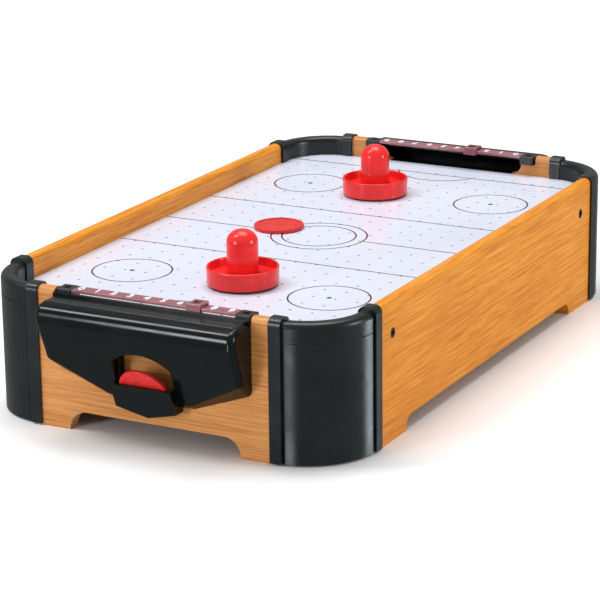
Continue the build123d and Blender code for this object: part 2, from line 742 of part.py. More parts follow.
def volute_plan(inset):
    """Plan of the blower: a round chamber with a straight outlet leaving it on one side."""
    with Locations(blower_at):
        Circle(volute_r - inset)
    with Locations((outlet_x, blower_at[1] + outlet_length / 2 - inset / 2)):
        Rectangle(outlet_width - 2 * inset, outlet_length - inset)


with BuildPart() as blower_housing:
    with BuildSketch(Plane.XY.offset(housing_low)):
        volute_plan(0)
    extrude(amount=volute_height)
    with BuildSketch(Plane.XY.offset(housing_top - 2.4)):
        with Locations(*ear_places):
            Circle(5.0)
    extrude(amount=2.4)
    with BuildSketch(Plane.XY.offset(housing_low)):
        volute_plan(volute_wall)
    extrude(amount=volute_height - volute_wall, mode=Mode.SUBTRACT)
    with BuildSketch(Plane.XY.offset(housing_low)):
        with Locations((outlet_x, outlet_y)):
            Rectangle(outlet_width - 8, 18)
        with Locations(blower_at):
            Circle(1.8)
        with Locations(*ear_places):
            Circle(screw_r + 0.1)
    extrude(amount=volute_height + 1, mode=Mode.SUBTRACT)
save(blower_housing, "blower_housing")

with BuildPart() as blower_base:
    with BuildSketch(Plane.XY.offset(housing_low - 2.1)):
        volute_plan(0)
        with Locations(blower_at):
            Circle(intake_r, mode=Mode.SUBTRACT)
    extrude(amount=2.0)
save(blower_base, "blower_base")

with BuildPart() as intake_grille:
    with BuildSketch(Plane(origin=(*blower_at, housing_low - 3.8))):
        Circle(intake_r + 4)
        for ring, count in ((8.0, 6), (13.5, 9), (19.0, 12)):
            with PolarLocations(ring, count):
                SlotOverall(0.56 * 2 * 3.1416 * ring / count, 2.6, rotation=90, mode=Mode.SUBTRACT)
    extrude(amount=1.6)
save(intake_grille, "intake_grille")

with BuildPart() as blower_screws:
    with BuildSketch(Plane.XY.offset(housing_top - 2.5)):
        with Locations(*ear_places):
            Circle(3.0)
    extrude(amount=-1.6)
    with BuildSketch(Plane.XY.offset(housing_top - 2.5)):
        with Locations(*ear_places):
            Circle(screw_r)
    extrude(amount=5.2)
save(blower_screws, "blower_screws")

impeller_low = housing_low + 4.5
with BuildPart() as impeller:
    with BuildSketch(Plane(origin=(*blower_at, impeller_low))):
        Circle(impeller_r)
        Circle(impeller_r - 1.6, mode=Mode.SUBTRACT)
    extrude(amount=1.4)
    with BuildSketch(Plane(origin=(*blower_at, impeller_low))):
        with PolarLocations(impeller_r - 4.6, blade_count):
            Rectangle(9.4, 1.1, rotation=38)
    extrude(amount=impeller_height)
    with BuildSketch(Plane(origin=(*blower_at, impeller_low + impeller_height))):
        Circle(impeller_r)
    extrude(amount=1.6)
    with BuildSketch(Plane(origin=(*blower_at, impeller_low + 3))):
        Circle(4.5)
    extrude(amount=impeller_height)
    with BuildSketch(Plane(origin=(*blower_at, impeller_low))):
        Circle(shaft_r)
    extrude(amount=impeller_height + 5, mode=Mode.SUBTRACT)
save(impeller, "impeller")

with BuildPart() as motor_shaft:
    with BuildSketch(Plane(origin=(*blower_at, impeller_low + 4))):
        Circle(shaft_r)
    extrude(amount=42)
save(motor_shaft, "motor_shaft")

with BuildPart() as motor:
    with BuildSketch(Plane(origin=(*blower_at, housing_top + 0.1))):
        Circle(motor_r)
    extrude(amount=motor_height)
    fillet(motor.edges().filter_by(GeomType.CIRCLE), 1.2)
    with BuildSketch(Plane(origin=(*blower_at, housing_top + motor_height - 0.2))):
        Circle(4.0)
    extrude(amount=2.0)
    with BuildSketch(Plane(origin=(blower_at[0], blower_at[1], housing_top))):
        Circle(shaft_r + 0.05)
    extrude(amount=24, mode=Mode.SUBTRACT)
    with BuildSketch(Plane(origin=(blower_at[0], blower_at[1], housing_top + motor_height))):
        with Locations((7.5, 0), (-7.5, 0)):
            Rectangle(0.8, 3)
    extrude(amount=3.4)
save(motor, "motor")

# ---- battery box -------------------------------------------------------------------------------------
cell_span = cell_count * cell_pitch
box_half_x = cell_span / 2 + 5.2
box_half_y = cell_length / 2 + 5.8
cavity_half_x = cell_span / 2 + 0.4
cavity_half_y = box_half_y - box_wall
box_low = 27.0
door_low = 28.75
door_thick = 1.6
box_top = housing_top


def battery_plane(height):
    """Horizontal plane at a height, centred on the battery box."""
    return Plane(origin=(*battery_at, height))


with BuildPart() as battery_box:
    with BuildSketch(battery_plane(box_low)):
        RectangleRounded(2 * box_half_x, 2 * box_half_y, 2)
    extrude(amount=box_top - box_low)
    with BuildSketch(battery_plane(door_low - 0.15)):
        Rectangle(2 * cavity_half_x, 2 * cavity_half_y)
    extrude(amount=box_top - box_wall - door_low + 0.15, mode=Mode.SUBTRACT)
    with BuildSketch(battery_plane(door_low - 0.15)):
        with Locations((0, -box_wall / 2)):
            Rectangle(2 * box_half_x - 3.6, 2 * box_half_y - box_wall)
    extrude(amount=door_thick + 0.3, mode=Mode.SUBTRACT)
    with BuildSketch(battery_plane(box_low)):
        with Locations((0, -box_wall - 0.6)):
            Rectangle(2 * box_half_x - 8, 2 * box_half_y - 2 * box_wall + 1.2)
    extrude(amount=door_low - box_low, mode=Mode.SUBTRACT)
save(battery_box, "battery_box")

with BuildPart() as battery_door:
    with BuildSketch(battery_plane(door_low)):
        with Locations((0, -box_wall / 2 - 0.1)):
            Rectangle(2 * box_half_x - 4.2, 2 * box_half_y - box_wall - 0.3)
    extrude(amount=door_thick)
    with BuildSketch(battery_plane(door_low)):
        with GridLocations(0, 3.2, 1, 5):
            Rectangle(24, 1.2)
    extrude(amount=-0.8)
save(battery_door, "battery_door")

cell_height = box_top - box_wall - 0.5 - cell_r
cell_places = [battery_at[0] + cell_pitch * (k - (cell_count - 1) / 2) for k in range(cell_count)]
with BuildPart() as batteries:
    for k, x in enumerate(cell_places):
        turn = 1 if k % 2 else -1
        middle = battery_at[1]
        tail = (x, middle - turn * (cell_length / 2 - 1), cell_height)
        head = (x, middle + turn * (cell_length / 2 - 1), cell_height)
        with BuildSketch(Plane(origin=tail, z_dir=(0, turn, 0))):
            Circle(cell_r)
        extrude(amount=cell_length - 2)
        with BuildSketch(Plane(origin=head, z_dir=(0, turn, 0))):
            Circle(2.7)
        extrude(amount=1.4)
save(batteries, "batteries")

with BuildPart() as battery_contacts:
    for x in cell_places:
        for hand in (-1, 1):
            wall_y = battery_at[1] + hand * (cavity_half_y - 0.05)
            with BuildSketch(Plane(origin=(x, wall_y, cell_height), z_dir=(0, -hand, 0))):
                Rectangle(11, 9)
            extrude(amount=0.5)
            with BuildSketch(Plane(origin=(x, wall_y - hand * 0.5, cell_height), z_dir=(0, -hand, 0))):
                Circle(3.4)
            extrude(amount=1.9, taper=20)
save(battery_contacts, "battery_contacts")

# ---- on/off switch -----------------------------------------------------------------------------------
pivot_x = -frame_half_width + 2.5
rocker_tilt = 8.0
rocker_pin_r = 1.0
rocker_pin_half = 5.5           # from the rocker's middle to the end of each pin
pocket_half = 6.7

with BuildPart() as switch_body:
    with BuildSketch(side_face("left", 0.1)):
        with Locations((-switch_at[0], switch_at[1])):
            RectangleRounded(switch_wide + 4, switch_tall + 4, 1.5)
    extrude(amount=1.6)
    fillet(switch_body.faces().sort_by(Axis.X)[0].edges(), 0.7)
    with BuildSketch(side_face("left", 0.1)):
        with Locations((-switch_at[0], switch_at[1])):
            Rectangle(switch_wide, switch_tall)
    extrude(amount=-16)
    with BuildSketch(side_face("left", 2)):
        with Locations((-switch_at[0], switch_at[1])):
            Rectangle(2 * pocket_half, 8.8)
    extrude(amount=-11, mode=Mode.SUBTRACT)
    # blind holes above and below the pocket for the rocker's pins
    with Locations((pivot_x, switch_at[0], switch_at[1])):
        Cylinder(rocker_pin_r + 0.06, 2 * rocker_pin_half + 0.4, mode=Mode.SUBTRACT)
save(switch_body, "switch_body")

with BuildPart() as switch_rocker:
    rocker_low = (pivot_x, switch_at[0], switch_at[1] - 4.1)
    rocker_plane = Plane(origin=rocker_low, x_dir=(-1, 0, 0), z_dir=(0, 0, 1))
    with BuildSketch(rocker_plane.rotated((0, 0, rocker_tilt))):
        with BuildLine():
            Polyline((-4.0, 0), (-2.0, 5.2), (4.6, 5.7), (3.7, 0), (4.6, -5.7), (-2.0, -5.2), close=True)
        make_face()
    extrude(amount=8.2)
    fillet(switch_rocker.edges().filter_by(Axis.Z).sort_by(Axis.X)[:2], 0.5)
    # the two pins that the rocker turns on
    with Locations((pivot_x, switch_at[0], switch_at[1])):
        Cylinder(rocker_pin_r, 2 * rocker_pin_half)
save(switch_rocker, "switch_rocker")

# ---- leads held below the air box's floor ------------------------------------------------------------
lead_r = 1.1


def lead(points, radii):
    """A lead along straight runs joined by tangent arcs."""
    with BuildLine() as route:
        FilletPolyline(*points, radius=radii)
    with BuildSketch(Plane(origin=route.line @ 0, z_dir=route.line % 0)) as section:
        Circle(lead_r)
    sweep(section.sketch, path=route.line)


switch_end = (-frame_half_width + 16.1, switch_at[0], switch_at[1])
hang = floor_low - 3.0
with BuildPart() as switch_lead:
    lead([switch_end, (-118, 60, switch_at[1]), (-96, 40, hang), (-70, -30, hang), (-52, -60, hang - 4),
          (battery_at[0] - box_half_x - 0.7, -60, hang - 6)], [9.0, 12.0, 16.0, 12.0])
save(switch_lead, "switch_lead")

motor_end = (blower_at[0] + 8.7, blower_at[1], housing_top + motor_height + 2.2)
with BuildPart() as motor_lead:
    lead([(battery_at[0] + box_half_x + 0.7, -60, hang - 6), (56, -52, hang), (58, -10, hang),
          (lead_hole[0], lead_hole[1], hang), (lead_hole[0], lead_hole[1], 72), (26, 58, motor_end[2]),
          motor_end], [7.0, 16.0, 3.4, 9.0, 7.0])
save(motor_lead, "motor_lead")

with BuildPart() as lead_clips:
    for x, y, heading in ((-83, 5, -69.6), (57, -31, 87.3)):
        clip_plane = Plane(origin=(x, y, floor_low - 0.1)).rotated((0, 0, heading))
        with BuildSketch(clip_plane):
            Rectangle(5, 9)
        extrude(amount=-5)
        along_lead = (cos(radians(heading)), sin(radians(heading)), 0)
        with BuildSketch(Plane(origin=(x, y, hang), z_dir=along_lead)):
            Circle(lead_r + 0.1)
        extrude(amount=4, both=True, mode=Mode.SUBTRACT)
save(lead_clips, "lead_clips")

# ---- mallets and pucks -------------------------------------------------------------------------------
for name, place in (("front", front_mallet_at), ("rear", rear_mallet_at)):
    foot = field_top + air_gap + felt_thick
    dome_base = mallet_height - felt_thick - dome
    with BuildPart() as mallet:
        with BuildSketch(Plane(origin=(*place, foot), x_dir=(1, 0, 0), z_dir=(0, -1, 0))):
            with BuildLine():
                Polyline((0, 0), (mallet_foot_r - 0.8, 0), (mallet_foot_r, 0.8),
                         (mallet_r, mallet_rim - 0.9))
                ThreePointArc((mallet_r, mallet_rim - 0.9), (mallet_r - 0.9, mallet_rim),
                              (mallet_r - 1.8, mallet_rim - 0.8))
                Polyline((mallet_r - 1.8, mallet_rim - 0.8), (mallet_r - 2.5, 7.4), (knob_r + 4.2, 6.4))
                ThreePointArc((knob_r + 4.2, 6.4), (knob_r + 1.4, 7.6), (knob_r + 0.2, 10.6))
                Line((knob_r + 0.2, 10.6), (knob_r, dome_base))
                Bezier((knob_r, dome_base), (knob_r, dome_base + 0.56 * dome),
                       (0.58 * knob_r, dome_base + dome), (0, dome_base + dome))
                Line((0, dome_base + dome), (0, 0))
            make_face()
        revolve(axis=Axis((*place, 0), (0, 0, 1)))
        with BuildSketch(Plane(origin=(*place, foot - 0.1))):
            Circle(knob_r - 2.2)
        extrude(amount=26, taper=1.5, mode=Mode.SUBTRACT)
        with BuildSketch(Plane(origin=(*place, foot - 0.1))):
            Circle(mallet_foot_r - 3.0)
            Circle(knob_r + 0.4, mode=Mode.SUBTRACT)
        extrude(amount=4.4, mode=Mode.SUBTRACT)
    save(mallet, f"mallet_{name}")

    with BuildPart() as felt:
        with BuildSketch(Plane(origin=(*place, field_top + air_gap))):
            Circle(mallet_foot_r - felt_inset)
        extrude(amount=felt_thick - 0.05)
    save(felt, f"mallet_felt_{name}")


field_puck_plane = Plane(origin=(*puck_at, field_top + air_gap))
lean = radians(return_lean)
return_depth = 11.4
return_height = 42.95
return_middle = (0.5, -frame_half_length - return_depth, return_height)
return_normal = (0, -cos(lean), -sin(lean))
return_plane = Plane(origin=return_middle, x_dir=(1, 0, 0), z_dir=return_normal).offset(-puck_thick / 2)

for name, plane in (("puck", field_puck_plane), ("puck_returned", return_plane)):
    with BuildPart() as puck:
        with BuildSketch(plane):
            Circle(puck_r)
        extrude(amount=puck_thick)
        fillet(puck.edges().filter_by(GeomType.CIRCLE), 0.8)
        with BuildSketch(plane):
            Circle(puck_r - 3.4)
        extrude(amount=0.35, mode=Mode.SUBTRACT)
        with BuildSketch(plane.offset(puck_thick - 0.35)):
            Circle(puck_r - 3.4)
        extrude(amount=0.35, mode=Mode.SUBTRACT)
    save(puck, name)
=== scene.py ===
import json
import math

import bmesh
import bpy
from mathutils import Matrix, Vector


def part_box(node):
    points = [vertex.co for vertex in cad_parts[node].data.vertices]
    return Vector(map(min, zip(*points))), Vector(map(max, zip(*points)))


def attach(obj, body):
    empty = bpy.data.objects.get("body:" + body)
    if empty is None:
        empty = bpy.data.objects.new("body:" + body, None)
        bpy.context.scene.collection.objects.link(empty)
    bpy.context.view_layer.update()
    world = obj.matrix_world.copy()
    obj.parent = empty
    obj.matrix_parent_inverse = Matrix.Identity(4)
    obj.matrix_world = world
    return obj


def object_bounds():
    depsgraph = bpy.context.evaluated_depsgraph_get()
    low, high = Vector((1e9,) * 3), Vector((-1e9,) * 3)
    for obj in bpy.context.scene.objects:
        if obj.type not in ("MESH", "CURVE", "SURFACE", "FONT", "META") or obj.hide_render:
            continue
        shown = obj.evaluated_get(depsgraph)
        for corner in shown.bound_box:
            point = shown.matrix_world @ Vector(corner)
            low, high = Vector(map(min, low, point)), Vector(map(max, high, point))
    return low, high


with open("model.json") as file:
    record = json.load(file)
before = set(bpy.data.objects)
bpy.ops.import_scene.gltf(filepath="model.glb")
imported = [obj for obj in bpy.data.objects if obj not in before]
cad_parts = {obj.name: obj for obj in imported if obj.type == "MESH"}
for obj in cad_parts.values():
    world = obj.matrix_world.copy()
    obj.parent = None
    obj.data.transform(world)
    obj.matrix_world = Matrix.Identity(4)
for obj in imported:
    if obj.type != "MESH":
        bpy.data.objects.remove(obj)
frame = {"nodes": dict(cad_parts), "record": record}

cad_box = [list(corner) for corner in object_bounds()]
MM = 0.001
EDGE_COLOUR_REACH = 0.9 * MM            # how far the edge colour reaches from a sharp edge: rubbing, and painted shade on the puck


# ---- places taken from the frame -----------------------------------------------------------------

field_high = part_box("playfield")[1]
field_top = field_high.z
field_half_x = field_high.x
field_half_y = field_high.y
BARS = {"front": -1, "rear": 1}


# ---- material kit --------------------------------------------------------------------------------

def srgb(red, green, blue):
    """Linear colour of 8-bit display values."""
    def linear(value):
        share = value / 255
        return share / 12.92 if share <= 0.04045 else ((share + 0.055) / 1.055) ** 2.4
    return (linear(red), linear(green), linear(blue), 1.0)


class Finish:
    """One node material. Its methods add nodes and return the socket that carries the result."""

    def __init__(self, name, **constants):
        self.material = bpy.data.materials.new(name)
        self.material.use_nodes = True
        self.tree = self.material.node_tree
        self.shader = self.tree.nodes["Principled BSDF"]
        self.places = self.node("ShaderNodeTexCoord").outputs["Object"]
        for label, value in constants.items():
            self.put(self.shader, label.replace("_", " "), value)

    def node(self, kind, settings=None, **values):
        """Add a node: settings are its own properties, values its input sockets by name."""
        made = self.tree.nodes.new(kind)
        for label, value in (settings or {}).items():
            setattr(made, label, value)
        for label, value in values.items():
            self.put(made, label.replace("_", " "), value)
        return made

    def put(self, node, label, value):
        """Give an input socket, by name or number, a constant or another node's output."""
        socket = node.inputs[label]
        if isinstance(value, bpy.types.NodeSocket):
            self.tree.links.new(value, socket)
        else:
            socket.default_value = value

    def noise(self, stretch, detail=3.0, roughness=0.55, distortion=0.0, shift=(0, 0, 0)):
        """Fractal noise with stretch cycles per metre along X, Y and Z."""
        placed = self.node("ShaderNodeMapping", Vector=self.places, Scale=stretch, Location=shift)
        made = self.node("ShaderNodeTexNoise", Vector=placed.outputs[0], Scale=1.0, Detail=detail,
                         Roughness=roughness, Distortion=distortion)
        return made.outputs["Fac"]

    def scale(self, value, low, high, to_low, to_high):
        """Map low..high to to_low..to_high, clamped."""
        made = self.node("ShaderNodeMapRange", Value=value, From_Min=low, From_Max=high,
                         To_Min=to_low, To_Max=to_high)
        return made.outputs[0]

    def ramp(self, value, *stops):
        """Colour ramp; each stop is (place, colour)."""
        made = self.node("ShaderNodeValToRGB", Fac=value)
        points = made.color_ramp.elements
        while len(points) < len(stops):
            points.new(0.5)
        for point, (place, colour) in zip(points, stops):
            point.position = place
            point.color = colour
        return made.outputs["Color"]

    def mix(self, share, first, second):
        """Blend two colours by share. The colour sockets of this node have numbers 6 and 7."""
        made = self.node("ShaderNodeMix", {"data_type": "RGBA"})
        for index, value in ((0, share), (6, first), (7, second)):
            self.put(made, index, value)
        return made.outputs[2]

    def sum(self, first, second, operation="ADD"):
        """Two values added, or combined by another operation."""
        made = self.node("ShaderNodeMath", {"operation": operation})
        for index, value in enumerate((first, second)):
            self.put(made, index, value)
        return made.outputs[0]

    def worn_edges(self, radius):
        """About 1 along sharp edges and 0 on flat faces."""
        rounded = self.node("ShaderNodeBevel", {"samples": 4}, Radius=radius)
        true = self.node("ShaderNodeNewGeometry")
        made = self.node("ShaderNodeVectorMath", {"operation": "DOT_PRODUCT"})
        self.tree.links.new(rounded.outputs[0], made.inputs[0])
        self.tree.links.new(true.outputs["Normal"], made.inputs[1])
        return self.scale(made.outputs["Value"], 0.88, 0.995, 1.0, 0.0)

    def bump(self, height, depth, strength):
        """Use height as relief of the given depth in metres."""
        made = self.node("ShaderNodeBump", Height=height, Distance=depth, Strength=strength)
        return made.outputs[0]

    def set(self, **sockets):
        """Wire results to the shader's sockets."""
        for label, value in sockets.items():
            self.put(self.shader, label.replace("_", " "), value)
        return self.material


# ---- materials -----------------------------------------------------------------------------------

def wood(name, grain, pale, warm, dark, shift):
    """Printed oak laminate with its grain along axis grain (0 is X, 1 is Y)."""
    def stretch(along, across):
        return tuple(along if axis == grain else across for axis in range(3))

    finish = Finish(name, Specular_IOR_Level=0.2, Coat_Weight=0.05, Coat_Roughness=0.2)
    lines = finish.noise(stretch(15, 640), detail=4, roughness=0.6, distortion=0.1, shift=shift)
    bands = finish.noise(stretch(3.6, 150), detail=5, roughness=0.66, distortion=0.35, shift=shift)
    clouds = finish.noise(stretch(16, 30), detail=3, roughness=0.5, shift=shift)
    stains = finish.noise(stretch(5, 14), detail=2, roughness=0.5, shift=shift)
    pores = finish.noise(stretch(38, 1150), detail=2, roughness=0.5, shift=shift)
    figure = finish.sum(finish.sum(lines, finish.scale(bands, 0, 1, -0.16, 0.16)),
                        finish.scale(clouds, 0, 1, -0.12, 0.12))
    ground = finish.ramp(figure, (0.24, dark), (0.47, warm), (0.72, pale), (0.95, pale))
    flecks = finish.scale(pores, 0.56, 0.7, 0.0, 0.7)
    colour = finish.mix(flecks, ground, dark)
    stained = finish.mix(finish.scale(stains, 0.52, 0.7, 0.0, 0.4), colour, dark)
    return finish.set(
        Base_Color=stained,
        Roughness=finish.scale(lines, 0.3, 0.7, 0.42, 0.3),
        Normal=finish.bump(lines, 0.00004, 0.5),
    )


def moulded(name, base, roughness, grain=2600.0, relief=0.00003, coat=0.0, edge_wear_and_shade=(46, 54, 56),
            shine=0.3, patch=28.0):
    """Moulded plastic with a fine skin texture, slow tone changes and a colour along sharp edges:
    rubbing on most parts, painted shade on the puck.
    """
    finish = Finish(name, Specular_IOR_Level=shine, Coat_Weight=coat, Coat_Roughness=0.1)
    skin = finish.noise((grain,) * 3, detail=3)
    handling = finish.noise((patch, patch, 1.4 * patch), detail=4, roughness=0.65)
    drift = finish.scale(handling, 0.3, 0.7, 0.0, 1.0)
    lighter = tuple(min(1.0, 1.55 * part) for part in base[:3]) + (1.0,)
    body = finish.mix(drift, base, lighter)
    rubbed_and_shaded = finish.sum(finish.worn_edges(EDGE_COLOUR_REACH), finish.scale(handling, 0.4, 0.62, 0.0, 0.5),
                        "MULTIPLY")
    return finish.set(
        Base_Color=finish.mix(rubbed_and_shaded, body, srgb(*edge_wear_and_shade)),
        Roughness=finish.scale(handling, 0.3, 0.7, roughness - 0.06, roughness + 0.08),
        Normal=finish.bump(skin, relief, 0.6),
    )


def sheet_white():
    """Glossy white coated hardboard of the playing surface, a little blue, with faint rub marks."""
    finish = Finish("field_white", Specular_IOR_Level=0.35, Coat_Weight=0.1, Coat_Roughness=0.08)
    tone = finish.noise((5, 5, 5), detail=3)
    rubs = finish.noise((60, 400, 60), detail=5, roughness=0.7)
    colour = finish.ramp(tone, (0.3, srgb(212, 218, 235)), (0.7, srgb(221, 226, 240)))
    return finish.set(
        Base_Color=colour,
        Roughness=finish.scale(rubs, 0.35, 0.7, 0.22, 0.34),
        Normal=finish.bump(finish.noise((1800, 1800, 1800), detail=2), 0.000015, 0.35),
    )


def ink(name, colour):
    """Printed line, slightly uneven in tone; the same finish also gives the painted shade round the
    air holes.
    """
    finish = Finish(name, Specular_IOR_Level=0.4)
    spread = finish.noise((900, 900, 900), detail=3)
    lighter = tuple(min(1.0, 1.9 * part + 0.01) for part in colour[:3]) + (1.0,)
    return finish.set(
        Base_Color=finish.mix(finish.scale(spread, 0.4, 0.75, 0.0, 0.6), colour, lighter),
        Roughness=finish.scale(spread, 0.3, 0.7, 0.3, 0.45),
    )


def metal(name, colour, roughness):
    """Plated or brushed metal with faint machining marks."""
    finish = Finish(name, Metallic=1.0)
    marks = finish.noise((2200, 2200, 300), detail=3)
    tarnish = finish.noise((90, 90, 90), detail=3)
    darker = tuple(0.6 * part for part in colour[:3]) + (1.0,)
    return finish.set(
        Base_Color=finish.mix(finish.scale(tarnish, 0.4, 0.75, 0.0, 0.8), colour, darker),
        Roughness=finish.scale(marks, 0.3, 0.7, roughness - 0.08, roughness + 0.1),
        Normal=finish.bump(marks, 0.00001, 0.5),
    )


def fibreboard():
    """Bare hardboard: brown, with short felted fibres."""
    finish = Finish("bare_hardboard", Specular_IOR_Level=0.2)
    fibres = finish.noise((900, 900, 900), detail=6, roughness=0.75, distortion=0.8)
    stains = finish.noise((18, 18, 18), detail=3)
    colour = finish.ramp(fibres, (0.3, srgb(88, 58, 36)), (0.55, srgb(128, 90, 58)),
                         (0.8, srgb(160, 122, 84)))
    return finish.set(
        Base_Color=finish.mix(finish.scale(stains, 0.4, 0.7, 0.0, 0.3), colour, srgb(84, 58, 40)),
        Roughness=finish.scale(fibres, 0.2, 0.8, 0.75, 0.92),
        Normal=finish.bump(fibres, 0.0001, 0.6),
    )


def woven_felt():
    """Dark red felt: short matted fibres with a little sheen."""
    finish = Finish("felt_pad", Sheen_Weight=0.4, Sheen_Roughness=0.5, Specular_IOR_Level=0.15)
    fuzz = finish.noise((1600, 1600, 1600), detail=6, roughness=0.8, distortion=1.2)
    return finish.set(
        Base_Color=finish.ramp(fuzz, (0.3, srgb(52, 12, 14)), (0.75, srgb(92, 34, 36))),
        Roughness=finish.scale(fuzz, 0.3, 0.8, 0.85, 1.0),
        Normal=finish.bump(fuzz, 0.0002, 0.8),
    )


# painted light: the oak laminate is the same on sides and ends; the orange side copy and the paler
# tan end copy stand in for the different light falling on them
oak_side = wood("oak_side", 1, srgb(242, 166, 66), srgb(224, 142, 38), srgb(188, 104, 24),
                (3.1, 0.4, 7.7))
oak_end = wood("oak_end", 0, srgb(222, 158, 94), srgb(204, 138, 76), srgb(172, 106, 56),
               (1.7, 5.2, 2.3))
cover_black = moulded("cover_black", srgb(12, 20, 21), 0.3, shine=0.42)
goal_gloss = moulded("goal_gloss", srgb(5, 11, 12), 0.17, grain=1500, relief=0.000012, shine=0.27,
                     edge_wear_and_shade=(30, 38, 40))
bar_maroon = moulded("bar_maroon", srgb(134, 78, 85), 0.26, edge_wear_and_shade=(196, 150, 154), shine=0.5,
                     coat=0.3)
glossy_red = moulded("glossy_red", srgb(212, 38, 38), 0.2, grain=1200, relief=0.000008, coat=0.12,
                     edge_wear_and_shade=(222, 48, 44))
# painted shade: the puck's dark red edge colour stands in for the shade on its rims, not wear
puck_red = moulded("puck_red", srgb(190, 38, 36), 0.34, grain=420, relief=0.00006,
                   edge_wear_and_shade=(132, 18, 22), patch=150.0)
digit_silver = moulded("digit_silver", srgb(232, 230, 234), 0.25, edge_wear_and_shade=(250, 250, 250), shine=0.5)
dark_bolt = metal("dark_bolt", srgb(46, 46, 48), 0.34)
plug_brown = metal("plug_brown", srgb(104, 52, 56), 0.4)
zinc = metal("zinc", srgb(176, 178, 180), 0.3)
field_white = sheet_white()
bare_board = fibreboard()
felt_pad = woven_felt()
line_ink = ink("line_ink", srgb(82, 32, 42))
dot_ink = ink("dot_ink", srgb(60, 58, 66))
# painted shade: grey for the rings that stand in for the shade inside the air holes
hole_shade = ink("hole_shade", srgb(146, 148, 160))
grey_fan = moulded("grey_fan", srgb(150, 152, 150), 0.45, edge_wear_and_shade=(190, 190, 188))
cell_jacket = moulded("cell_jacket", srgb(36, 60, 92), 0.25, coat=0.4, edge_wear_and_shade=(120, 140, 160))
nickel = metal("nickel", srgb(200, 196, 186), 0.25)
lead_rubber = moulded("lead_rubber", srgb(22, 22, 24), 0.5)
pine = wood("pine_rail", 1, srgb(226, 194, 146), srgb(210, 172, 120), srgb(176, 130, 82),
            (0.3, 2.2, 9.1))

SLOT_FINISH = {
    "oak_laminate": oak_side,
    "black_plastic": cover_black,
    "goal_black": goal_gloss,
    "field_white": field_white,
    "hardboard": bare_board,
    "pine": pine,
    "dark_screw": dark_bolt,
    "steel": zinc,
    "maroon_plastic": bar_maroon,
    "red_plastic": glossy_red,
    "felt": felt_pad,
    "fan_grey": grey_fan,
    "cell_wrap": cell_jacket,
    "contact_nickel": nickel,
    "lead_black": lead_rubber,
}


def coat(node, material):
    """Give a CAD node one material all over."""
    slots = frame["nodes"][node].material_slots
    for place in slots:
        place.material = material
    if not slots:
        frame["nodes"][node].data.materials.append(material)


for entry in frame["record"]["subparts"]:
    coat(entry["node"], SLOT_FINISH[entry["material_slot"]])
# the end panels take the tan copy of the laminate: painted light, as noted where the two copies are
# made
for end in BARS:
    coat(f"end_panel_{end}", oak_end)
    coat(f"bar_screws_{end}", plug_brown)
for loose in ("puck", "puck_returned"):
    coat(loose, puck_red)


# ---- mesh kit ------------------------------------------------------------------------------------

def piece(name, mesh, material, body):
    """Link a finished mesh as a piece that rides on a body."""
    made = bpy.data.objects.new(name, mesh)
    mesh.materials.append(material)
    bpy.context.scene.collection.objects.link(made)
    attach(made, body)
    return made


def ring(build, centre, radius, width, low, high, steps=96, start=0.0, turn=math.tau):
    """Flat closed band along a circle, or part of one, in the mesh being built."""
    whole = abs(turn - math.tau) < 1e-9
    count = steps if whole else steps + 1
    sections = []
    for index in range(count):
        angle = start + turn * index / steps
        across = Vector((math.cos(angle), math.sin(angle), 0))
        corners = []
        for reach, height in ((-1, low), (1, low), (1, high), (-1, high)):
            place = Vector((centre[0], centre[1], height)) + across * (radius + reach * width / 2)
            corners.append(build.verts.new(place))
        sections.append(corners)
    after = sections[1:] + sections[:1] if whole else sections[1:]
    for here, there in zip(sections, after):
        for side in range(4):
            build.faces.new((here[side], here[(side + 1) % 4], there[(side + 1) % 4], there[side]))
    if not whole:
        build.faces.new(sections[0][::-1])
        build.faces.new(sections[-1])


def strip(build, x_low, x_high, y_low, y_high, low, high):
    """Flat closed bar in the mesh being built."""
    outline = ((x_low, y_low), (x_high, y_low), (x_high, y_high), (x_low, y_high))
    corners = [[build.verts.new((x, y, z)) for x, y in outline] for z in (low, high)]
    build.faces.new(corners[0][::-1])
    build.faces.new(corners[1])
    for side in range(4):
        after = (side + 1) % 4
        build.faces.new((corners[0][side], corners[0][after], corners[1][after], corners[1][side]))


def disc(build, centre, radius, low, high, steps=32):
    """Flat closed round dot in the mesh being built."""
    angles = [math.tau * k / steps for k in range(steps)]
    outline = [(centre[0] + radius * math.cos(angle), centre[1] + radius * math.sin(angle))
               for angle in angles]
    rims = [[build.verts.new((x, y, z)) for x, y in outline] for z in (low, high)]
    build.faces.new(rims[0][::-1])
    build.faces.new(rims[1])
    for here in range(steps):
        after = (here + 1) % steps
        build.faces.new((rims[0][here], rims[0][after], rims[1][after], rims[1][here]))


def finished(build, name):
    """Mesh data from a bmesh, with its faces turned outwards."""
    bmesh.ops.recalc_face_normals(build, faces=build.faces)
    mesh = bpy.data.meshes.new(name)
    build.to_mesh(mesh)
    build.free()
    return mesh


# ---- printed rink, and painted shade round the air holes -----------------------------------------
LINE = 1.3 * MM
INK = 0.05 * MM
ZONE_LINE_Y = 72.1 * MM
GOAL_LINE_Y = 218.0 * MM
CENTRE_RINGS = (38.0 * MM, 29.3 * MM)
FACEOFF_X = 83.4 * MM
FACEOFF_Y = 146.0 * MM
FACEOFF_RING = 30.3 * MM
CREASE_RADIUS = 38.5 * MM
CREASE_MIDDLE_Y = 235.6 * MM
DOT_RADIUS = 2.0 * MM
HOLE_PITCH = (17.8 * MM, 18.4 * MM)
HOLE_COLUMNS = 7
HOLE_ROWS = 12
HOLE_RADIUS = 0.75 * MM
HOLE_SHADE_WIDTH = 0.4 * MM
FIELD_CORNER = 40.0 * MM
HOLE_MARGIN = 9.0 * MM
LINE_END_GAP = 0.3 * MM         # the lines stop this far from the field's long edges


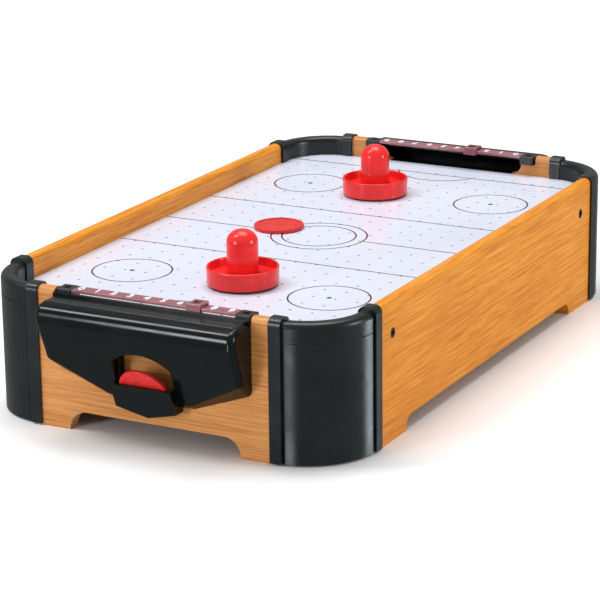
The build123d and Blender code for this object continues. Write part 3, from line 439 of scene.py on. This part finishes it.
def rink_lines():
    """Centre line, zone lines, goal lines, creases and face-off rings."""
    build = bmesh.new()
    low, high = field_top - INK, field_top + INK
    edge = field_half_x - LINE_END_GAP
    for level in (0, -ZONE_LINE_Y, ZONE_LINE_Y, -GOAL_LINE_Y, GOAL_LINE_Y):
        if level == 0:
            reach = CENTRE_RINGS[0]
            strip(build, -edge, -reach, -LINE / 2, LINE / 2, low, high)
            strip(build, reach, edge, -LINE / 2, LINE / 2, low, high)
        else:
            strip(build, -edge, edge, level - LINE / 2, level + LINE / 2, low, high)
    for radius in CENTRE_RINGS:
        ring(build, (0, 0), radius, LINE, low, high, steps=128)
    for x in (-FACEOFF_X, FACEOFF_X):
        for y in (-FACEOFF_Y, FACEOFF_Y):
            ring(build, (x, y), FACEOFF_RING, LINE, low, high)
    dip = math.asin((CREASE_MIDDLE_Y - GOAL_LINE_Y) / CREASE_RADIUS)
    for sign in (-1, 1):
        start = dip if sign < 0 else -math.pi + dip
        ring(build, (0, sign * CREASE_MIDDLE_Y), CREASE_RADIUS, LINE, low, high, steps=64,
             start=start, turn=math.pi - 2 * dip)
    return finished(build, "rink_lines")


def rink_dots():
    """Face-off dots in the four rings."""
    build = bmesh.new()
    for x in (-FACEOFF_X, FACEOFF_X):
        for y in (-FACEOFF_Y, FACEOFF_Y):
            disc(build, (x, y), DOT_RADIUS, field_top - INK, field_top + INK)
    return finished(build, "rink_dots")


def hole_edges():
    """Grey ring round every air hole of the grid: painted shade standing in for the shade down in
    the holes.
    """
    build = bmesh.new()
    for column in range(-HOLE_COLUMNS, HOLE_COLUMNS + 1):
        for row in range(-HOLE_ROWS, HOLE_ROWS + 1):
            x, y = HOLE_PITCH[0] * column, HOLE_PITCH[1] * row
            over_x = max(abs(x) - (field_half_x - FIELD_CORNER), 0)
            over_y = max(abs(y) - (field_half_y - FIELD_CORNER), 0)
            if math.hypot(over_x, over_y) < FIELD_CORNER - HOLE_MARGIN:
                ring(build, (x, y), HOLE_RADIUS + HOLE_SHADE_WIDTH / 2, HOLE_SHADE_WIDTH,
                     field_top - INK, field_top + INK / 2, steps=16)
    return finished(build, "hole_edges")


piece("rink_lines", rink_lines(), line_ink, "frame")
piece("rink_dots", rink_dots(), dot_ink, "frame")
# painted shade: grey rings round the air holes
piece("hole_edges", hole_edges(), hole_shade, "frame")


# ---- score bar digits ----------------------------------------------------------------------------
DIGIT_PITCH = 13.6 * MM
DIGIT_COUNT = 10
DIGIT_SIZE = 9.0 * MM
DIGIT_PROUD = 0.35 * MM
DIGIT_BEVEL = 0.06 * MM
DIGIT_WEIGHT = 0.2 * MM         # how much each stroke is thickened to either side
DIGIT_SINK = 0.05 * MM          # how far the figures' undersides lie in the bar


def digits(end):
    """Raised figures 0 to 9 along a score bar, read from its own end of the table."""
    sign = BARS[end]
    low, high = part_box(f"score_bar_{end}")
    row_y = (low.y + high.y) / 2
    build = bmesh.new()
    for value in range(DIGIT_COUNT):
        text = bpy.data.curves.new(f"figure_{value}", "FONT")
        text.body = str(value)
        text.size = DIGIT_SIZE
        text.extrude = DIGIT_PROUD / 2
        text.bevel_depth = DIGIT_BEVEL
        text.offset = DIGIT_WEIGHT
        text.align_x = "CENTER"
        text.align_y = "CENTER"
        holder = bpy.data.objects.new(text.name, text)
        bpy.context.scene.collection.objects.link(holder)
        bpy.context.view_layer.update()
        solved = holder.evaluated_get(bpy.context.evaluated_depsgraph_get())
        shape = bpy.data.meshes.new_from_object(solved)
        along = DIGIT_PITCH * (value - (DIGIT_COUNT - 1) / 2)
        turn = Matrix.Rotation(0 if sign < 0 else math.pi, 4, "Z")
        middle_z = high.z + DIGIT_PROUD / 2 - DIGIT_SINK
        shape.transform(Matrix.Translation((-sign * along, row_y, middle_z)) @ turn)
        build.from_mesh(shape)
        bpy.data.objects.remove(holder)
        bpy.data.curves.remove(text)
        bpy.data.meshes.remove(shape)
    mesh = bpy.data.meshes.new(f"digits_{end}")
    build.to_mesh(mesh)
    build.free()
    return mesh


for end in BARS:
    piece(f"score_digits_{end}", digits(end), digit_silver, "frame")


# ---- camera, floor and light ---------------------------------------------------------------------
CAMERA_AZIMUTH = math.radians(27.842)
CAMERA_ELEVATION = math.radians(16.995)
CAMERA_ROLL = math.radians(-0.695)
CAMERA_DISTANCE = 2.05029
CAMERA_TARGET = Vector((-0.01872, 0.0, 0.03304))
CAMERA_LENS = 154.17            # millimetres, on a sensor 36 mm wide
CAMERA_SHIFT = (0.0021, 0.0007)
FLOOR_HALF = 12.0
WORLD_STRENGTH = 0.34
COOL = (0.82, 0.92, 1.0)


def add_camera():
    """Long lens on the near end's right-hand side, a little above the table."""
    back = Vector((math.sin(CAMERA_AZIMUTH) * math.cos(CAMERA_ELEVATION),
                   -math.cos(CAMERA_AZIMUTH) * math.cos(CAMERA_ELEVATION),
                   math.sin(CAMERA_ELEVATION)))
    level = Vector((math.cos(CAMERA_AZIMUTH), math.sin(CAMERA_AZIMUTH), 0))
    upward = back.cross(level)
    right = math.cos(CAMERA_ROLL) * level + math.sin(CAMERA_ROLL) * upward
    up = math.cos(CAMERA_ROLL) * upward - math.sin(CAMERA_ROLL) * level
    data = bpy.data.cameras.new("camera")
    data.sensor_width = 36.0
    data.lens = CAMERA_LENS
    data.shift_x, data.shift_y = CAMERA_SHIFT
    data.clip_start = 0.1
    data.clip_end = 50.0
    camera = bpy.data.objects.new("camera", data)
    turn = Matrix((right, up, back)).transposed().to_4x4()
    camera.matrix_world = Matrix.Translation(CAMERA_TARGET + back * CAMERA_DISTANCE) @ turn
    bpy.context.scene.collection.objects.link(camera)
    bpy.context.scene.camera = camera


def add_floor():
    """Plain pale floor under and round the table. Reflections pass it by, so black stays black."""
    finish = Finish("floor_pale", Specular_IOR_Level=0.0)
    tone = finish.noise((0.8, 0.8, 0.8), detail=1)
    colour = finish.ramp(tone, (0.0, (0.9, 0.9, 0.9, 1)), (1.0, (0.93, 0.93, 0.93, 1)))
    material = finish.set(Base_Color=colour, Roughness=0.9)
    build = bmesh.new()
    bmesh.ops.create_grid(build, x_segments=4, y_segments=4, size=FLOOR_HALF)
    mesh = finished(build, "floor")
    mesh.materials.append(material)
    floor = bpy.data.objects.new("floor", mesh)
    floor.location.z = cad_box[0][2]
    bpy.context.scene.collection.objects.link(floor)
    floor.visible_glossy = False


def soft_light(name, place, aim, size, power, tint=(1, 1, 1)):
    """Rectangular softbox at place, turned towards aim."""
    data = bpy.data.lights.new(name, "AREA")
    data.shape = "RECTANGLE"
    data.size, data.size_y = size
    data.energy = power
    data.color = tint
    light = bpy.data.objects.new(name, data)
    direction = Vector(aim) - Vector(place)
    light.rotation_mode = "QUATERNION"
    light.rotation_quaternion = direction.to_track_quat("-Z", "Y")
    light.location = place
    bpy.context.scene.collection.objects.link(light)


def add_light():
    """White surroundings, a broad light overhead, one high left, and a low one at each side."""
    world = bpy.data.worlds.new("studio")
    world.use_nodes = True
    background = world.node_tree.nodes["Background"]
    background.inputs["Color"].default_value = (1, 1, 1, 1)
    background.inputs["Strength"].default_value = WORLD_STRENGTH
    bpy.context.scene.world = world
    soft_light("overhead", (-0.3, 0.9, 4.5), (0, 0.3, 0), (3.0, 3.0), 158)
    soft_light("left_top", (-1.0, -0.64, 1.87), (0, 0, 0.05), (0.45, 0.8), 17)
    soft_light("left_key", (-0.8, -1.9, 0.35), (0, 0, 0.05), (0.35, 0.7), 14)
    soft_light("right_fill", (1.9, 0.25, 0.35), (0, 0, 0.05), (0.35, 0.7), 12.5)
    # below the floor, seen only in reflections: they give the upright bands on the covers
    soft_light("low_front", (-0.09, -1.94, -0.47), (0.15, -0.26, 0.05), (0.42, 0.5), 6.5, COOL)
    soft_light("low_right", (1.31, 1.04, -0.47), (0.15, -0.22, 0.05), (0.42, 0.5), 6.0, COOL)
    bpy.context.scene.view_settings.view_transform = "Standard"


add_camera()
add_floor()
add_light()
